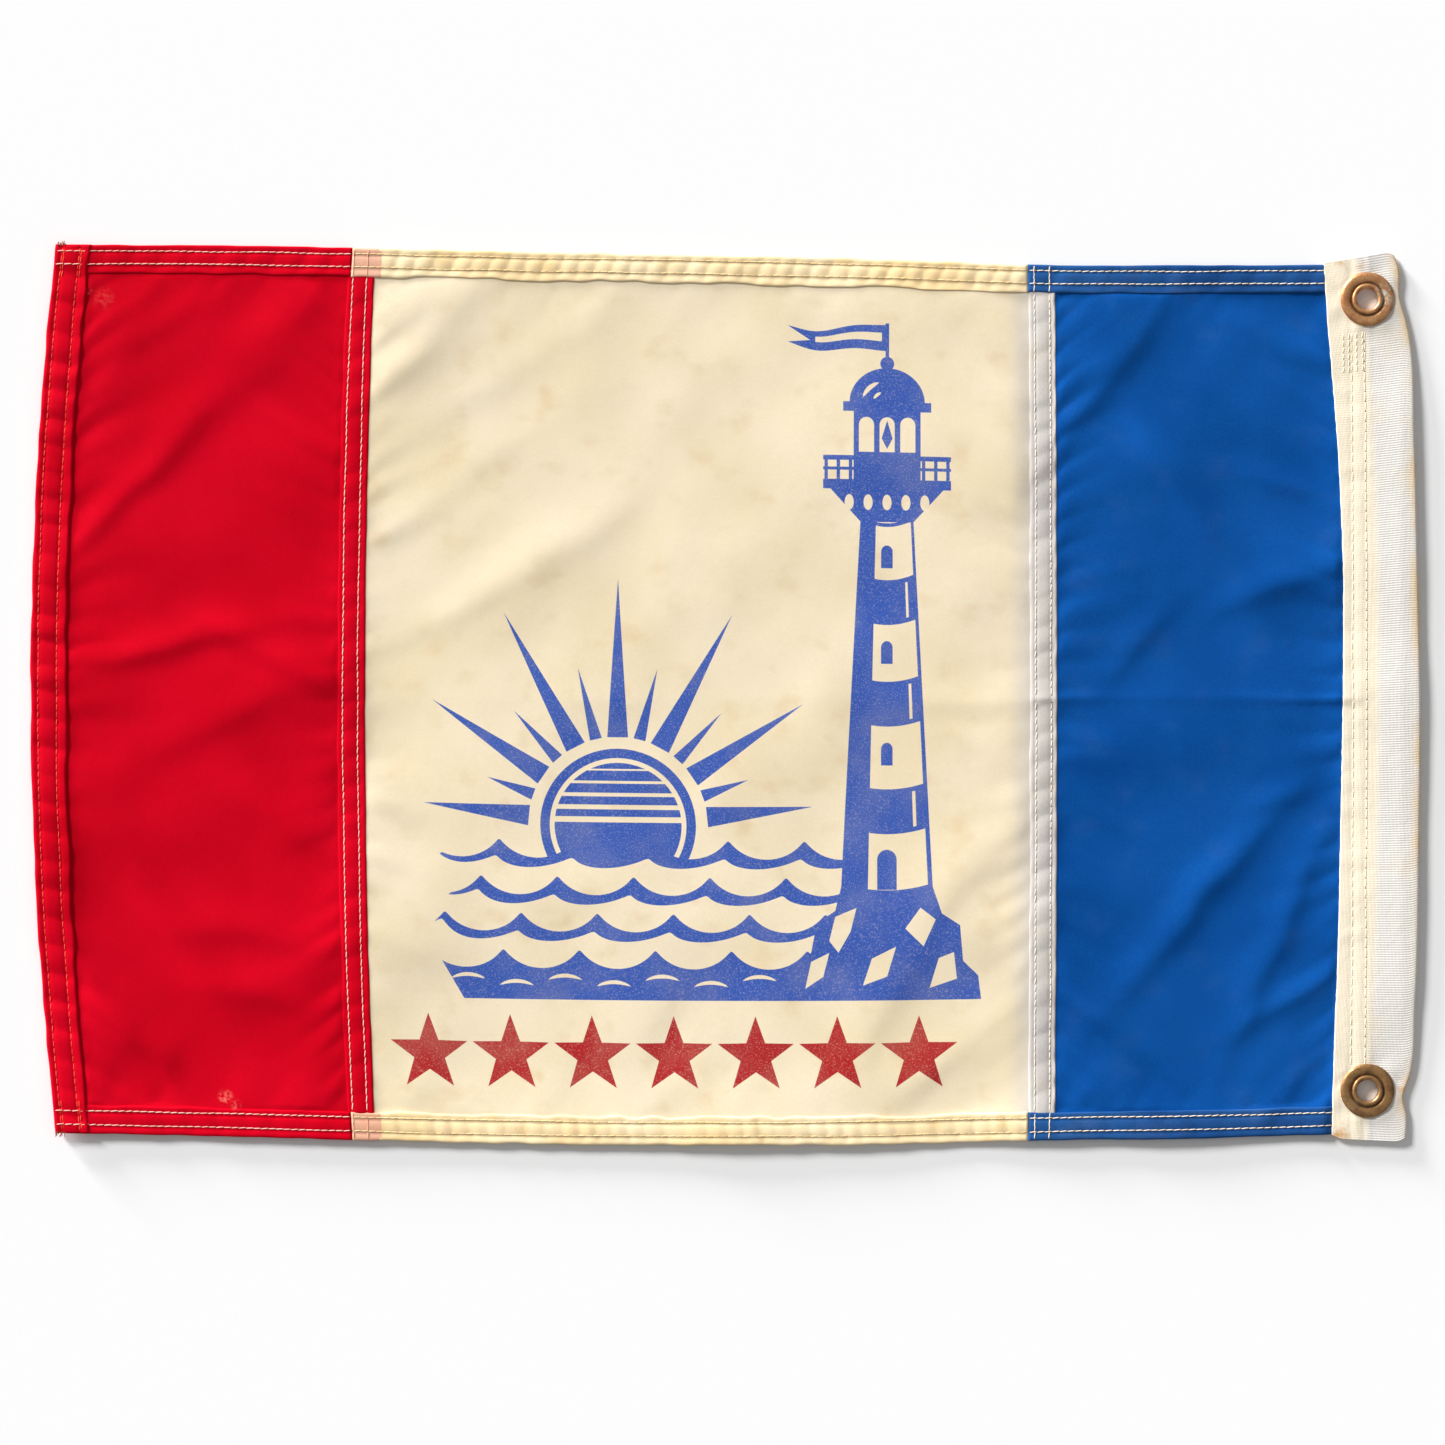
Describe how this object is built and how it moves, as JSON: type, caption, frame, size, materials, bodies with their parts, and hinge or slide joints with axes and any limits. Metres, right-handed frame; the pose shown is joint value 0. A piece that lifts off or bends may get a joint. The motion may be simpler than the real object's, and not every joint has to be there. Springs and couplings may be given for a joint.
{
  "type": "hoist flag",
  "caption": "Small rectangular hoist flag of sewn nylon panels with felled seams and hemmed edges, on a folded canvas heading with brass grommets near its ends.",
  "frame": {"origin": "under the middle of the flag as it lies flat, on the surface that it lies on", "axes": "+X from the fly towards the canvas heading, +Y up the hoist towards the upper grommet, +Z out of the cloth on the reverse side, which carries the grommets' washers"},
  "size_m": [0.463, 0.3, 0.003],
  "materials": {
    "red_nylon": "fine plain-woven nylon with a soft sheen",
    "white_nylon": "fine plain-woven nylon, yellowed with age, printed in blue and red",
    "blue_nylon": "fine plain-woven nylon with a soft sheen",
    "heading_canvas": "ribbed cotton canvas with rust and tan stains",
    "brass": "pressed sheet brass, tarnished brown",
    "cream_thread": "spun sewing thread",
    "red_thread": "spun sewing thread"
  },
  "bodies": {
    "heading": {"heading_tape": "heading_canvas", "heading_stitching": "cream_thread", "heading_bar_tacks": "cream_thread", "upper_grommet_eyelet": "brass", "upper_grommet_washer": "brass", "lower_grommet_eyelet": "brass", "lower_grommet_washer": "brass", "blue_seam_allowance": "blue_nylon"},
    "blue_field": {"blue_panel": "blue_nylon", "blue_top_hem": "blue_nylon", "blue_bottom_hem": "blue_nylon", "blue_top_hem_stitching": "cream_thread", "blue_bottom_hem_stitching": "cream_thread", "blue_white_seam": "white_nylon", "blue_white_seam_stitching": "cream_thread"},
    "white_field": {"white_panel": "white_nylon", "white_top_hem": "white_nylon", "white_bottom_hem": "white_nylon", "white_top_hem_stitching": "cream_thread", "white_bottom_hem_stitching": "cream_thread", "white_red_seam": "red_nylon", "white_red_seam_stitching": "cream_thread"},
    "red_field": {"red_panel": "red_nylon", "red_top_hem": "red_nylon", "red_bottom_hem": "red_nylon", "red_top_hem_stitching": "cream_thread", "red_bottom_hem_stitching": "cream_thread", "fly_hem": "red_nylon", "fly_hem_stitching": "red_thread"}
  },
  "joints": [
    {"name": "heading_fold", "type": "hinge", "parent": "heading", "child": "blue_field", "pos_m": [0.1972, 0, 0.00125], "axis": [0, 1, 0], "range_deg": [-150, 150]},
    {"name": "blue_white_fold", "type": "hinge", "parent": "blue_field", "child": "white_field", "pos_m": [0.0981, 0, 0.00125], "axis": [0, 1, 0], "range_deg": [-150, 150]},
    {"name": "white_red_fold", "type": "hinge", "parent": "white_field", "child": "red_field", "pos_m": [-0.1316, 0, 0.00125], "axis": [0, 1, 0], "range_deg": [-150, 150]}
  ]
}
